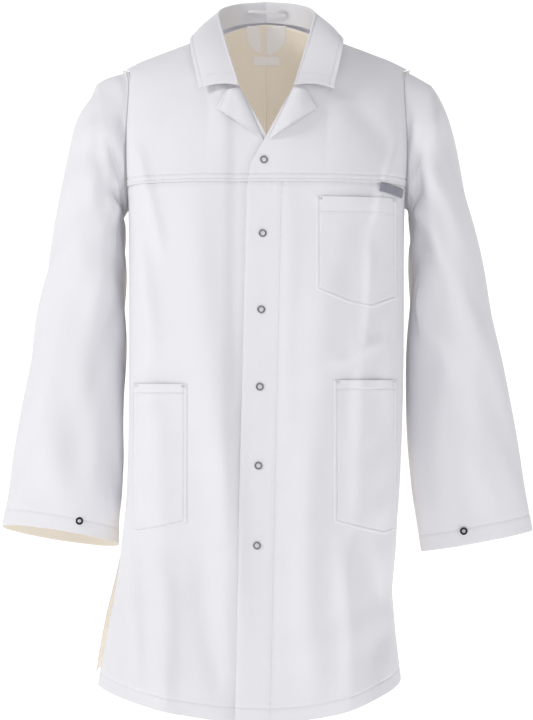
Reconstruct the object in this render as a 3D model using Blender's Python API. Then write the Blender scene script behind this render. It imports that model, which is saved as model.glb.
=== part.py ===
"""Lab coat for the biology bench: cloth panels, collar, pockets, labels and press studs.

Metres, +Z up. The front faces -Y and the wearer's left is +X. The origin is the point
where a hanger or a neck holds the coat, in the middle of the neck opening.
"""
import math

import bmesh
import bpy
from mathutils import Matrix, Vector

# ---- cloth and gaps ----
CLOTH = 0.0012
TRIM = 0.0007
TAPE = 0.0010
SEAM_GAP = 0.0008

# ---- body of the coat ----
SECTION_POWER = 3.2
NECK_HALF = 0.085
NECK_POINT_Z = 0.005
SHOULDER_SLOPE = 0.37
NECK_RISE = 0.065
FRONT_DEPTH = 0.135
FRONT_FLARE = 0.04
BACK_DEPTH = 0.140
BACK_FLARE = 0.03
FRONT_ROUNDING = 0.25
BACK_ROUNDING = 0.16
SIDE_HEM_Z = -0.948
FRONT_HEM_DROP = 0.045
BACK_HEM_DROP = 0.037
YOKE_Z = -0.2235
BACK_NECK_Z = 0.037
UNDERARM_Z = -0.250
ARMHOLE_TOP_Z = -0.046
ARMHOLE_HALF_DEPTH = 0.058
FOLD_X = 0.0715
FOLD_GAP = 0.0015
AXIS_Z = -0.35
AXIS_OUT = 0.0060

# Half widths of the body, by height below the neck, on the wearer's left (+1) and right (-1).
HALF_WIDTH = {
    1: ((0.00, 0.2150), (0.15, 0.2140), (0.25, 0.2055), (0.50, 0.2035), (0.64, 0.1990),
        (0.75, 0.1920), (0.84, 0.1890), (0.99, 0.2050)),
    -1: ((0.00, 0.2150), (0.15, 0.2140), (0.25, 0.2055), (0.50, 0.2045), (0.68, 0.2080),
         (0.77, 0.2190), (0.87, 0.2420), (0.99, 0.2640)),
}

# ---- front edges, x by depth below the neck ----
LEFT_EDGE = ((0.024, 0.0715), (0.160, -0.001), (0.200, -0.0235), (0.240, -0.029), (0.993, -0.045))
RIGHT_EDGE = ((0.024, -0.0715), (0.160, 0.001), (0.200, 0.018), (0.240, 0.0225), (0.993, 0.006))
FACING_WIDTH = 0.050
FACING_TOP_Z = -0.185
UNDERLAP_LIFT = -0.0067
FACING_LIFT = -0.0018
UNDERLAP_RAMP = (-0.066, -0.050)
FRONT_TIP_GAP = 0.0700
FRONT_NECK_SLOPE = 2.15
ROW_SPREAD = 1.6

# ---- back vent ----
VENT_TOP_Z = -0.640
VENT_HALF = 0.040
VENT_SHORT = 0.006
VENT_LIFT = -0.0030

# ---- sleeves: outer edge x, z; inner edge x, z; half depth ----
SLEEVE_RINGS = {
    1: ((0.2155, -0.046, 0.2060, -0.250, 0.058), (0.2460, -0.068, 0.2115, -0.262, 0.066),
        (0.2740, -0.135, 0.2145, -0.285, 0.074), (0.3100, -0.279, 0.2135, -0.335, 0.077),
        (0.3430, -0.430, 0.2100, -0.455, 0.070), (0.3720, -0.580, 0.2110, -0.610, 0.056),
        (0.3980, -0.735, 0.2320, -0.766, 0.040)),
    -1: ((0.2155, -0.046, 0.2060, -0.250, 0.058), (0.2530, -0.0675, 0.2105, -0.262, 0.066),
         (0.2900, -0.145, 0.2110, -0.285, 0.074), (0.3160, -0.279, 0.2105, -0.335, 0.077),
         (0.3430, -0.4185, 0.2100, -0.455, 0.070), (0.3690, -0.575, 0.2140, -0.610, 0.056),
         (0.3960, -0.730, 0.2210, -0.757, 0.042)),
}
SLEEVE_START_GAP = 0.0016
RING_SEAM_DEG = 1.2

# ---- collar: neck seam, roll line and outer edge from centre back to the front end ----
COLLAR = (
    ((0.000, 0.0905, 0.041), (0.000, 0.0920, 0.0716), (0.000, 0.1120, 0.022)),
    ((0.046, 0.0745, 0.033), (0.044, 0.0740, 0.0650), (0.064, 0.0970, 0.016)),
    ((0.078, 0.0240, 0.014), (0.069, 0.0180, 0.0450), (0.102, 0.0200, 0.006)),
    ((0.073, -0.0600, 0.000), (0.0655, -0.0620, 0.0070), (0.109, -0.0760, -0.018)),
    ((0.047, -0.1260, -0.084), (0.0400, -0.1290, -0.0850), (0.0960, -0.1140, -0.0885)),
)
STAND_END = 0.84
ROLL_GAP = 0.0022
FALL_OUT = 0.0030
FALL_BOW = 0.004
GORGE = (0.0385, -0.0910)
NOTCH = (0.0580, -0.0925)
LAPEL_TIP = (0.0690, -0.1180)
LAPEL_FOOT = (0.0045, -0.1600)
LAPEL_LIFT = 0.0045

# ---- pockets: inner edge x, outer edge x, top z, bottom outline (x, z), lift ----
CHEST_POCKET = (0.0745, 0.1900, -0.2460, ((0.0745, -0.382), (0.118, -0.399), (0.150, -0.406),
                                          (0.190, -0.391)))
INNER_POCKET = (0.0800, 0.1880, -0.2600, ((0.0800, -0.476), (0.188, -0.476)))
LEFT_HIP_POCKET = (0.0976, 0.1880, -0.5085, ((0.0976, -0.711), (0.169, -0.731), (0.188, -0.728)))
RIGHT_HIP_POCKET = (0.1130, 0.1930, -0.5140, ((0.1130, -0.712), (0.185, -0.729), (0.193, -0.727)))
POCKET_LIFT = 0.0028
INNER_POCKET_LIFT = -0.0034

# ---- labels and hanging loop ----
WOVEN_LABEL = (0.036, 0.014, 0.0006)
WOVEN_LABEL_AT = (0.181, -0.2335)
WOVEN_LABEL_TILT = math.radians(-11)
WOVEN_LABEL_LIFT = 0.0062
NECK_PATCH = (0.058, 0.037)
NECK_PATCH_TOP = 0.031
PATCH_LIFT = -0.0075
CARE_LABEL = (0.040, 0.014)
LOOP_HALF = 0.030
LOOP_Y = 0.0790
LOOP_BULGE = 0.008
LOOP_WIDTH = 0.007
LOOP_Z = 0.056

# ---- press studs ----
SNAP_Z = (-0.1936, -0.299, -0.408, -0.518, -0.630, -0.743)
SNAP_TOP_X = -0.0036
SNAP_LEAN = 0.018
CAP_RADIUS = 0.00575
CAP_HOLE = 0.0034
STUD_RADIUS = 0.0024
CAP_HEIGHT = 0.0011
SOCKET_HEIGHT = 0.0016
PLATE_HEIGHT = 0.0007
SNAP_SIDES = 14
CAP_LIFT = 0.0006
SOCKET_DROP = 0.0051
STUD_DROP = 0.0063
BACK_RING_DROP = 0.0116
CUFF_SNAP_RING = 5.86
CUFF_CAP_LIFT = 0.0014
CUFF_STUD_LIFT = 0.0028
CUFF_SNAP_ANGLES = {1: (105, 236, 213), -1: (111, 236, 213)}
CUFF_TILT = {1: 0.0, -1: 0.012}


def smooth(table, key):
    """Value at key on a smooth curve through (key, value) rows whose keys rise."""
    last = len(table) - 1
    key = min(max(key, table[0][0]), table[last][0])
    index = max(i for i in range(last) if table[i][0] <= key)

    def slope(i):
        lo, hi = max(i - 1, 0), min(i + 1, last)
        return (table[hi][1] - table[lo][1]) / (table[hi][0] - table[lo][0])

    (k0, v0), (k1, v1) = table[index], table[index + 1]
    span = k1 - k0
    t = (key - k0) / span
    a = (2 * t ** 3 - 3 * t ** 2 + 1, t ** 3 - 2 * t ** 2 + t, 3 * t ** 2 - 2 * t ** 3, t ** 3 - t ** 2)
    return v0 * a[0] + slope(index) * (span * a[1]) + v1 * a[2] + slope(index + 1) * (span * a[3])


def straight(table, key):
    """Value at key on straight lines through (key, value) rows."""
    for (k0, v0), (k1, v1) in zip(table, table[1:]):
        if key <= k1 or k1 == table[-1][0]:
            t = min(max((key - k0) / (k1 - k0), 0.0), 1.0)
            return v0 + (v1 - v0) * t


def shoulder_z(x):
    """Height of the shoulder line, and of the neck hollow inside it."""
    if abs(x) >= NECK_HALF:
        return NECK_POINT_Z - SHOULDER_SLOPE * (abs(x) - NECK_HALF)
    return NECK_POINT_Z + NECK_RISE * (1 - (x / NECK_HALF) ** 2)


def half_width(x_sign, z):
    """Half width of the body on one side at height z."""
    return smooth(HALF_WIDTH[x_sign], -z)


def depth(x, z, back=False, lift=0.0):
    """How far the cloth stands from the middle plane at (x, z)."""
    sign = 1 if x >= 0 else -1
    reach = half_width(sign, z) + lift
    rounding = BACK_ROUNDING if back else FRONT_ROUNDING
    full = BACK_DEPTH - BACK_FLARE * z if back else FRONT_DEPTH - FRONT_FLARE * z
    drop = min(max(shoulder_z(x) - z, 0.0), rounding)
    round_over = math.sqrt(1 - (1 - drop / rounding) ** 2)
    across = max(1 - (min(abs(x) / reach, 1.0)) ** SECTION_POWER, 0.0) ** (1 / SECTION_POWER)
    return (full * round_over + lift) * across


def front(x, z, lift=0.0):
    """Point on the front of the coat."""
    return Vector((x, -depth(x, z, lift=lift), z))


def side_x(x_sign, z, back):
    """Outer limit of a body panel: the armhole edge, or the side seam below it."""
    reach = half_width(x_sign, z)
    if z <= UNDERARM_Z:
        return reach
    middle = (ARMHOLE_TOP_Z + UNDERARM_Z) / 2
    tall = (ARMHOLE_TOP_Z - UNDERARM_Z) / 2
    ring = ARMHOLE_HALF_DEPTH * math.sqrt(max(1 - ((z - middle) / tall) ** 2, 0.0))
    low, high = 0.12, reach
    for _ in range(40):
        x = (low + high) / 2
        if depth(x_sign * x, z, back) > ring:
            low = x
        else:
            high = x
    return low


def angle_of(x, z):
    """Section angle of x: 0 at centre front or back, 90 degrees at the side."""
    ratio = min(abs(x) / half_width(1 if x >= 0 else -1, z), 1.0)
    return math.copysign(math.asin(ratio ** (SECTION_POWER / 2)), x)


def between(x0, x1, z, u):
    """The x a share u of the way round the section from x0 to x1."""
    a0, a1 = angle_of(x0, z), angle_of(x1, z)
    angle = a0 + (a1 - a0) * u
    reach = half_width(1 if angle >= 0 else -1, z)
    return math.copysign(reach * abs(math.sin(angle)) ** (2 / SECTION_POWER), angle)


def hem_z(x, back=False):
    """Height of the hem round the coat."""
    share = min(abs(x) / half_width(1 if x >= 0 else -1, SIDE_HEM_Z), 1.0)
    drop = BACK_HEM_DROP if back else FRONT_HEM_DROP
    return SIDE_HEM_Z - drop * (1 - share ** 2)


MATERIALS = {
    "white_twill": ((0.80, 0.81, 0.83), 0.85, 0.0),
    "cream_inside": ((0.84, 0.80, 0.72), 0.9, 0.0),
    "label_grey": ((0.36, 0.36, 0.42), 0.8, 0.0),
    "steel": ((0.62, 0.62, 0.64), 0.3, 1.0),
    "dark_steel": ((0.20, 0.20, 0.21), 0.35, 1.0),
}


def material(name):
    """The Principled material of one finish."""
    found = bpy.data.materials.get(name)
    if found:
        return found
    colour, roughness, metallic = MATERIALS[name]
    made = bpy.data.materials.new(name)
    made.use_nodes = True
    shader = made.node_tree.nodes["Principled BSDF"]
    shader.inputs["Base Color"].default_value = (*colour, 1.0)
    shader.inputs["Roughness"].default_value = roughness
    shader.inputs["Metallic"].default_value = metallic
    made.diffuse_color = (*colour, 1.0)
    return made


def place(name, mesh, finish, holder=None):
    """Put a mesh in the scene as a named sub-part, under its joint's empty if it has one."""
    mesh.materials.append(material(finish))
    made = bpy.data.objects.new(name, mesh)
    bpy.context.scene.collection.objects.link(made)
    if holder is not None:
        made.parent = holder
        made.matrix_parent_inverse = holder.matrix_world.inverted()
    return made


def cloth(name, columns, rows, surface, holder=None, flip=False, thick=CLOTH, finish="white_twill"):
    """A cloth piece: surface(u, v) is its outer face, and Solidify gives it its thickness."""
    points = [surface(i / columns, j / rows) for j in range(rows + 1) for i in range(columns + 1)]
    wide = columns + 1
    faces = []
    for j in range(rows):
        for i in range(columns):
            a = j * wide + i
            face = (a, a + wide, a + wide + 1, a + 1)
            faces.append(face[::-1] if flip else face)
    mesh = bpy.data.meshes.new(name)
    mesh.from_pydata(points, [], faces)
    mesh.update()
    mesh.shade_smooth()
    made = place(name, mesh, finish, holder)
    shell = made.modifiers.new("Thickness", "SOLIDIFY")
    shell.thickness = thick
    shell.offset = -1.0
    return made


def joint_empty(name, at):
    """The empty on a joint's axis that carries a moving body."""
    made = bpy.data.objects.new(name, None)
    made.location = at
    bpy.context.scene.collection.objects.link(made)
    bpy.context.view_layer.update()
    return made


def underlap(x):
    """How far the wearer's right front drops behind the left front at x."""
    start, end = UNDERLAP_RAMP
    t = min(max((x - start) / (end - start), 0.0), 1.0)
    return UNDERLAP_LIFT * t * t * (3 - 2 * t)


def neck_edge_z(x, back):
    """Height of the top edge of a body panel at x: the neckline, then the shoulder seam."""
    if abs(x) >= NECK_HALF:
        return shoulder_z(x)
    if back:
        return NECK_POINT_Z + (BACK_NECK_Z - NECK_POINT_Z) * (1 - (x / NECK_HALF) ** 2)
    return NECK_POINT_Z - FRONT_NECK_SLOPE * (NECK_HALF - abs(x))


def panel_point(sign, inner, share, v, bottom_of, back):
    """Point on a body panel: share runs from its inner edge out, v from its top down."""
    tip = sign * side_x(sign, ARMHOLE_TOP_Z, back)
    x_top = between(sign * inner, tip, ARMHOLE_TOP_Z, share)
    z_top = neck_edge_z(x_top, back)
    x_low = between(sign * inner, sign * half_width(sign, SIDE_HEM_Z), SIDE_HEM_Z, share)
    z = z_top + (bottom_of(x_low) - z_top) * v ** ROW_SPREAD
    reach = sign * side_x(sign, min(z, ARMHOLE_TOP_Z), back)
    x = between(sign * inner, reach, z, share) if v else x_top
    y = max(depth(x, z, back), SEAM_GAP)
    return Vector((x, y if back else -y, z))


def build_back():
    """Two back panels that meet at the centre back seam, and the vent's underlap."""
    for sign, name in ((1, "left_back"), (-1, "right_back")):
        def surface(u, v, sign=sign):
            share = (1 - u if sign > 0 else u) ** ROW_SPREAD
            return panel_point(sign, SEAM_GAP, share, v, lambda x: hem_z(x, True), True)
        cloth(name, 9, 12, surface)

    def vent(u, v):
        z = VENT_TOP_Z + (hem_z(0.0, True) + VENT_SHORT - VENT_TOP_Z) * v
        x = VENT_HALF * (1 - 2 * u)
        return Vector((x, depth(x, z, True, VENT_LIFT), z))
    cloth("back_vent_underlap", 2, 4, vent)


def build_sides():
    """The fixed part of each front: the shoulder yoke above and the side front below."""
    inner = FOLD_X + FOLD_GAP
    for sign, side in ((1, "left"), (-1, "right")):
        def yoke(u, v, sign=sign):
            share = u if sign > 0 else 1 - u
            return panel_point(sign, inner, share, v, lambda x: YOKE_Z + SEAM_GAP / 2, False)
        cloth(f"{side}_shoulder_yoke", 6, 8, yoke)

        def side_front(u, v, sign=sign):
            share = u if sign > 0 else 1 - u
            x_low = between(sign * inner, sign * half_width(sign, SIDE_HEM_Z), SIDE_HEM_Z, share)
            z_top = YOKE_Z - SEAM_GAP / 2
            z = z_top + (hem_z(x_low) - z_top) * v
            x = between(sign * inner, sign * side_x(sign, z, False), z, share)
            return Vector((x, -max(depth(x, z), SEAM_GAP), z))
        cloth(f"{side}_side_front", 6, 9, side_front)


def build_front(side, holder):
    """The part of one front that swings open: yoke end, panel, facing and lapel."""
    sign = 1 if side == "left" else -1
    edge = LEFT_EDGE if sign > 0 else RIGHT_EDGE
    fold = sign * (FOLD_X - FOLD_GAP)

    def lift_of(x):
        return 0.0 if sign > 0 else underlap(x)

    def strip(z_top, z_bottom, extra=0.0, width=None):
        def surface(u, v):
            share = u if sign > 0 else 1 - u
            x0 = edge[-1][1]
            x1 = fold if width is None else x0 + sign * width
            low = hem_z(x0 + (x1 - x0) * share) if z_bottom is None else z_bottom
            z = z_top + (low - z_top) * v
            x0 = straight(edge, -z)
            x1 = fold if width is None else x0 + sign * width
            x = x0 + (x1 - x0) * share
            return front(x, z, lift_of(x) + extra)
        return surface

    top_z = -edge[0][0] - FRONT_TIP_GAP
    cloth(f"{side}_yoke_front", 4, 6, strip(top_z, YOKE_Z + SEAM_GAP / 2), holder)
    cloth(f"{side}_front_panel", 4, 8, strip(YOKE_Z - SEAM_GAP / 2, None), holder)
    cloth(f"{side}_facing", 2, 9, strip(FACING_TOP_Z, None, FACING_LIFT, FACING_WIDTH), holder)

    def lapel(u, v):
        share = u if sign > 0 else 1 - u
        roll_x = GORGE[0] + (LAPEL_FOOT[0] - GORGE[0]) * v
        roll_z = GORGE[1] + (LAPEL_FOOT[1] - GORGE[1]) * v
        edge_x = NOTCH[0] + (LAPEL_TIP[0] - NOTCH[0]) * v
        edge_z = NOTCH[1] + (LAPEL_TIP[1] - NOTCH[1]) * v
        x = sign * (roll_x + (edge_x - roll_x) * share)
        return front(x, roll_z + (edge_z - roll_z) * share, LAPEL_LIFT)
    cloth(f"{side}_lapel", 5, 5, lapel, holder)


def collar_point(t, line):
    """Point on one of the collar's three long lines, t from -1 at the right end to 1."""
    rows = [(i / (len(COLLAR) - 1), Vector(stop[line])) for i, stop in enumerate(COLLAR)]
    point = smooth(rows, abs(t))
    return Vector((math.copysign(point.x, t) if t else 0.0, point.y, point.z))


def build_collar():
    """The collar's stand up to the roll line, and its fall over the shoulders."""
    def stand(u, v):
        t = STAND_END * (1 - 2 * u)
        low, high = collar_point(t, 0), collar_point(t, 1)
        high = high + (low - high).normalized() * ROLL_GAP
        return high.lerp(low, v)
    cloth("collar_stand", 16, 2, stand, finish="cream_inside")

    def fall(u, v):
        t = 1 - 2 * u
        high, low = collar_point(t, 1), collar_point(t, 2)
        out = Vector((high.x, high.y, 0.0)).normalized() * FALL_OUT
        bow = Vector((0.0, 0.0, FALL_BOW)) * math.sin(math.pi * v)
        return high.lerp(low, v) + out + bow
    cloth("collar_fall", 16, 3, fall)


def pocket(name, outline, lift, columns=3, rows=3):
    """A patch pocket on one front, with its bottom outline as given."""
    inner, outer, top, bottom = outline
    sign = -1 if name.startswith("right") else 1

    def surface(u, v):
        share = u if sign > 0 else 1 - u
        x = inner + (outer - inner) * share
        z = top + (straight(bottom, x) - top) * v
        return front(sign * x, z, lift)
    cloth(name, columns, rows, surface)


def build_pockets():
    """Chest pocket, the inner pocket behind it, and two hip pockets."""
    pocket("chest_pocket", CHEST_POCKET, POCKET_LIFT, 8, 4)
    pocket("inner_chest_pocket", INNER_POCKET, INNER_POCKET_LIFT, 8, 5)
    pocket("left_hip_pocket", LEFT_HIP_POCKET, POCKET_LIFT, 8, 4)
    pocket("right_hip_pocket", RIGHT_HIP_POCKET, POCKET_LIFT, 8, 4)


def sleeve_ring(sign, place_on, angle):
    """Point on a sleeve: place_on is the ring number, angle 0 outside, 90 in front."""
    rings = SLEEVE_RINGS[sign]
    rows = list(enumerate(rings))
    outer_x, outer_z, inner_x, inner_z, half = smooth_list(rows, place_on)
    mid_x, mid_z = (outer_x + inner_x) / 2, (outer_z + inner_z) / 2
    c, s = math.cos(angle), math.sin(angle)
    x = mid_x + (outer_x - inner_x) / 2 * c
    z = mid_z + (outer_z - inner_z) / 2 * c
    y = -half * s
    z += CUFF_TILT[sign] * s * (place_on / (len(rings) - 1)) ** 6
    if place_on < 1:
        x_seam = armhole_x(sign, z, y > 0)
        x = max(x, x_seam) * place_on + x_seam * (1 - place_on)
    return Vector((sign * (x + SLEEVE_START_GAP), y, z))


def smooth_list(rows, key):
    """smooth() for rows whose values are lists of numbers."""
    return [smooth([(k, v[i]) for k, v in rows], key) for i in range(len(rows[0][1]))]


def armhole_x(sign, z, back):
    """The armhole edge at height z, held to the armhole's own heights."""
    return side_x(sign, min(max(z, UNDERARM_Z + 0.0005), ARMHOLE_TOP_Z - 0.0005), back)


def build_sleeve(side, holder):
    """A sleeve in a front and a back half, and the three press studs on its cuff."""
    sign = 1 if side == "left" else -1
    seam = math.radians(RING_SEAM_DEG)
    last = len(SLEEVE_RINGS[sign]) - 1
    for half, start in (("front", 0.0), ("back", math.pi)):
        def surface(u, v, start=start):
            return sleeve_ring(sign, v * last, start + seam + (math.pi - 2 * seam) * u)
        cloth(f"{side}_sleeve_{half}", 8, 10, surface, holder, flip=sign > 0)
    for label, degrees in zip(("cap", "inner_stud", "outer_stud"), CUFF_SNAP_ANGLES[sign]):
        angle = math.radians(degrees)
        here = sleeve_ring(sign, CUFF_SNAP_RING, angle)
        along = sleeve_ring(sign, CUFF_SNAP_RING + 0.1, angle) - here
        round_it = sleeve_ring(sign, CUFF_SNAP_RING, angle + 0.05) - here
        out = round_it.cross(along).normalized() * sign
        if label == "cap":
            ring_piece(f"{side}_cuff_cap", here + out * CUFF_CAP_LIFT, out, CAP_HEIGHT, "dark_steel", holder)
        else:
            inside = here - out * (CLOTH + CUFF_STUD_LIFT)
            ring_piece(f"{side}_cuff_{label}", inside, -out, CAP_HEIGHT, "steel", holder)


def turned(name, profile, at, out, finish, holder):
    """A closed ring turned about the direction out: profile is (radius, height) corners."""
    mesh = bpy.data.meshes.new(name)
    shape = bmesh.new()
    loops = []
    for radius, height in profile:
        angles = (math.tau * k / SNAP_SIDES for k in range(SNAP_SIDES))
        loops.append([shape.verts.new((radius * math.cos(a), radius * math.sin(a), height))
                      for a in angles])
    for first, second in zip(loops, loops[1:] + loops[:1]):
        for k in range(SNAP_SIDES):
            nxt = (k + 1) % SNAP_SIDES
            shape.faces.new((first[k], first[nxt], second[nxt], second[k]))
    bmesh.ops.recalc_face_normals(shape, faces=shape.faces)
    turn = Vector((0, 0, 1)).rotation_difference(out).to_matrix().to_4x4()
    shape.transform(Matrix.Translation(at) @ turn)
    shape.to_mesh(mesh)
    shape.free()
    mesh.shade_smooth()
    mesh.set_sharp_from_angle(angle=math.radians(40))
    return place(name, mesh, finish, holder)


def ring_piece(name, at, out, height, finish, holder, hole=CAP_HOLE):
    """The open ring of a press stud."""
    profile = ((CAP_RADIUS, 0.0), (CAP_RADIUS, height), (hole, height), (hole, 0.0))
    return turned(name, profile, at, out, finish, holder)


def disc_piece(name, at, out, height, radius, finish, holder):
    """A round plate with a stub on it, closed by a cap of triangles."""
    mesh = bpy.data.meshes.new(name)
    shape = bmesh.new()
    bmesh.ops.create_cone(shape, cap_ends=True, segments=SNAP_SIDES, radius1=radius, radius2=radius,
                          depth=height)
    turn = Vector((0, 0, 1)).rotation_difference(out).to_matrix().to_4x4()
    shape.transform(Matrix.Translation(at + out * height / 2) @ turn)
    shape.to_mesh(mesh)
    shape.free()
    mesh.shade_smooth()
    mesh.set_sharp_from_angle(angle=math.radians(40))
    return place(name, mesh, finish, holder)


def build_snaps(left_holder, right_holder):
    """Six press studs: cap and socket on the left front, stud and back ring on the right."""
    for number, z in enumerate(SNAP_Z, start=1):
        x = SNAP_TOP_X - SNAP_LEAN * (SNAP_Z[0] - z)
        slope = (front(x, z + 0.01) - front(x, z - 0.01)).normalized()
        out = Vector((1, 0, 0)).cross(slope).normalized()
        face = front(x, z)
        ring_piece(f"snap_{number}_cap", face + out * CAP_LIFT, out, CAP_HEIGHT, "steel", left_holder)
        ring_piece(f"snap_{number}_socket", face - out * SOCKET_DROP, out, SOCKET_HEIGHT, "steel",
                   left_holder, hole=STUD_RADIUS + CAP_LIFT)
        disc_piece(f"snap_{number}_stud", face - out * STUD_DROP, out, PLATE_HEIGHT, CAP_RADIUS,
                   "steel", right_holder)
        ring_piece(f"snap_{number}_back_ring", face - out * BACK_RING_DROP, out, CAP_HEIGHT, "steel",
                   right_holder)


def flat_plate(name, size, centre, right, up, finish):
    """A flat label: size is width, height and thickness, lying in the right-up plane."""
    width, height, thick = size
    out = right.cross(up).normalized()
    corners = []
    for w in (0.0, thick):
        for a, b in ((-1, -1), (1, -1), (1, 1), (-1, 1)):
            corners.append(centre + right * (a * width / 2) + up * (b * height / 2) + out * w)
    faces = [(3, 2, 1, 0), (4, 5, 6, 7), (0, 1, 5, 4), (1, 2, 6, 5), (2, 3, 7, 6), (3, 0, 4, 7)]
    mesh = bpy.data.meshes.new(name)
    mesh.from_pydata(corners, [], faces)
    mesh.update()
    return place(name, mesh, finish)


def build_labels():
    """The blank woven label on the chest, and the neck patch, care label and loop inside."""
    x, z = WOVEN_LABEL_AT
    across = (front(x + 0.01, z) - front(x - 0.01, z)).normalized()
    upward = (front(x, z + 0.01) - front(x, z - 0.01)).normalized()
    out = across.cross(upward).normalized()
    turn = Matrix.Rotation(WOVEN_LABEL_TILT, 3, out)
    right = turn @ across
    up = out.cross(right)
    flat_plate("woven_label", WOVEN_LABEL, front(x, z) + out * WOVEN_LABEL_LIFT, right, up, "label_grey")

    def patch(u, v):
        x_in = (u - 0.5) * NECK_PATCH[0]
        z_in = NECK_PATCH_TOP - NECK_PATCH[1] * v * math.sqrt(1 - (2 * u - 1) ** 2 * 0.8)
        return Vector((x_in, depth(x_in, z_in, True, PATCH_LIFT), z_in))
    cloth("neck_patch", 8, 3, patch, thick=TRIM)

    def care(u, v):
        x_in = (u - 0.5) * CARE_LABEL[0]
        z_in = NECK_PATCH_TOP - NECK_PATCH[1] - 0.001 - CARE_LABEL[1] * v
        return Vector((x_in, depth(x_in, z_in, True, PATCH_LIFT), z_in))
    cloth("care_label", 3, 2, care, thick=TRIM, finish="cream_inside")

    def loop(u, v):
        x_in = LOOP_HALF * (2 * u - 1)
        bulge = LOOP_BULGE * math.sqrt(max(1 - (2 * u - 1) ** 4, 0.0))
        return Vector((x_in, LOOP_Y - bulge, LOOP_Z + LOOP_WIDTH * (0.5 - v)))
    cloth("hanger_loop", 12, 1, loop, thick=TAPE)


def main():
    """Build the whole coat."""
    for old in list(bpy.data.objects):
        bpy.data.objects.remove(old, do_unlink=True)
    axis_y = -depth(FOLD_X, AXIS_Z) - AXIS_OUT
    left_front = joint_empty("left_front_axis", (FOLD_X, axis_y, AXIS_Z))
    right_front = joint_empty("right_front_axis", (-FOLD_X, axis_y, AXIS_Z))
    shoulder_x = SLEEVE_RINGS[1][0][0]
    left_sleeve = joint_empty("left_sleeve_axis", (shoulder_x, 0.0, ARMHOLE_TOP_Z))
    right_sleeve = joint_empty("right_sleeve_axis", (-shoulder_x, 0.0, ARMHOLE_TOP_Z))
    build_back()
    build_sides()
    build_front("left", left_front)
    build_front("right", right_front)
    build_collar()
    build_pockets()
    build_sleeve("left", left_sleeve)
    build_sleeve("right", right_sleeve)
    build_snaps(left_front, right_front)
    build_labels()


main()
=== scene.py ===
"""The lab coat's looks: draped cloth, seams, stitching, press studs, studio and camera."""
import math

import bpy
import numpy as np
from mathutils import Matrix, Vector


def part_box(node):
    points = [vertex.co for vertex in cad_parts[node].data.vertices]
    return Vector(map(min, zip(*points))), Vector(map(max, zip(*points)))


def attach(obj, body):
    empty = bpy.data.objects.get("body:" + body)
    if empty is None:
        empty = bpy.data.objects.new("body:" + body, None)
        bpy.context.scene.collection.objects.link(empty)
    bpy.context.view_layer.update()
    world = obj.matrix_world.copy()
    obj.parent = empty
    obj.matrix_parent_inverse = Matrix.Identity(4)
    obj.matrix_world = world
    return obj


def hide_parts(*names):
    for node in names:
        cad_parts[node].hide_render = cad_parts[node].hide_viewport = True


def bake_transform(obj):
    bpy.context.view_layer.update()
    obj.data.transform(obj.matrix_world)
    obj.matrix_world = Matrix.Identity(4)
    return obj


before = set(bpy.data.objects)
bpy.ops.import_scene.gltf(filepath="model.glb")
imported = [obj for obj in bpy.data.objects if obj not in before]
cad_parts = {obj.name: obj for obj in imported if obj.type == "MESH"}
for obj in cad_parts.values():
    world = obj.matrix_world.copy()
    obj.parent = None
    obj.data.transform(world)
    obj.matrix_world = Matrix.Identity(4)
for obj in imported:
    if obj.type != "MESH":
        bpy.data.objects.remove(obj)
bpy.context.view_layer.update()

# ---- the coat's own shape, as in its CAD ----
POWER = 3.2
NECK_HALF = 0.085
NECK_POINT_Z = 0.005
SHOULDER_SLOPE = 0.37
NECK_RISE = 0.065
FRONT_DEPTH, FRONT_FLARE, FRONT_ROUNDING = 0.135, 0.04, 0.25
BACK_DEPTH, BACK_FLARE, BACK_ROUNDING = 0.140, 0.03, 0.16
SIDE_HEM_Z = -0.948
FRONT_HEM_DROP, BACK_HEM_DROP = 0.045, 0.037
YOKE_Z = -0.2235
UNDERARM_Z, ARMHOLE_TOP_Z, ARMHOLE_HALF_DEPTH = -0.250, -0.046, 0.058
BACK_NECK_Z = 0.037
FOLD_X = 0.0715
HALF_WIDTH = {
    1: ((0.00, 0.2150), (0.15, 0.2140), (0.25, 0.2055), (0.50, 0.2035), (0.64, 0.1990),
        (0.75, 0.1920), (0.84, 0.1890), (0.99, 0.2050)),
    -1: ((0.00, 0.2150), (0.15, 0.2140), (0.25, 0.2055), (0.50, 0.2045), (0.68, 0.2080),
         (0.77, 0.2190), (0.87, 0.2420), (0.99, 0.2640)),
}
LEFT_EDGE = ((-0.005, 0.0850), (0.024, 0.0715), (0.160, -0.001), (0.200, -0.0235),
             (0.240, -0.029), (0.993, -0.045))
RIGHT_EDGE = ((-0.005, -0.0850), (0.024, -0.0715), (0.160, 0.001), (0.200, 0.018),
              (0.240, 0.0225), (0.993, 0.006))
PLACKET = 0.050
SLEEVE_RINGS = {
    1: ((0.2155, -0.046, 0.2060, -0.250, 0.058), (0.2460, -0.068, 0.2115, -0.262, 0.066),
        (0.2740, -0.135, 0.2145, -0.285, 0.074), (0.3100, -0.279, 0.2135, -0.335, 0.077),
        (0.3430, -0.430, 0.2100, -0.455, 0.070), (0.3720, -0.580, 0.2110, -0.610, 0.056),
        (0.3980, -0.735, 0.2320, -0.766, 0.040)),
    -1: ((0.2155, -0.046, 0.2060, -0.250, 0.058), (0.2530, -0.0675, 0.2105, -0.262, 0.066),
         (0.2900, -0.145, 0.2110, -0.285, 0.074), (0.3160, -0.279, 0.2105, -0.335, 0.077),
         (0.3430, -0.4185, 0.2100, -0.455, 0.070), (0.3690, -0.575, 0.2140, -0.610, 0.056),
         (0.3960, -0.730, 0.2210, -0.757, 0.042)),
}
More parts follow.
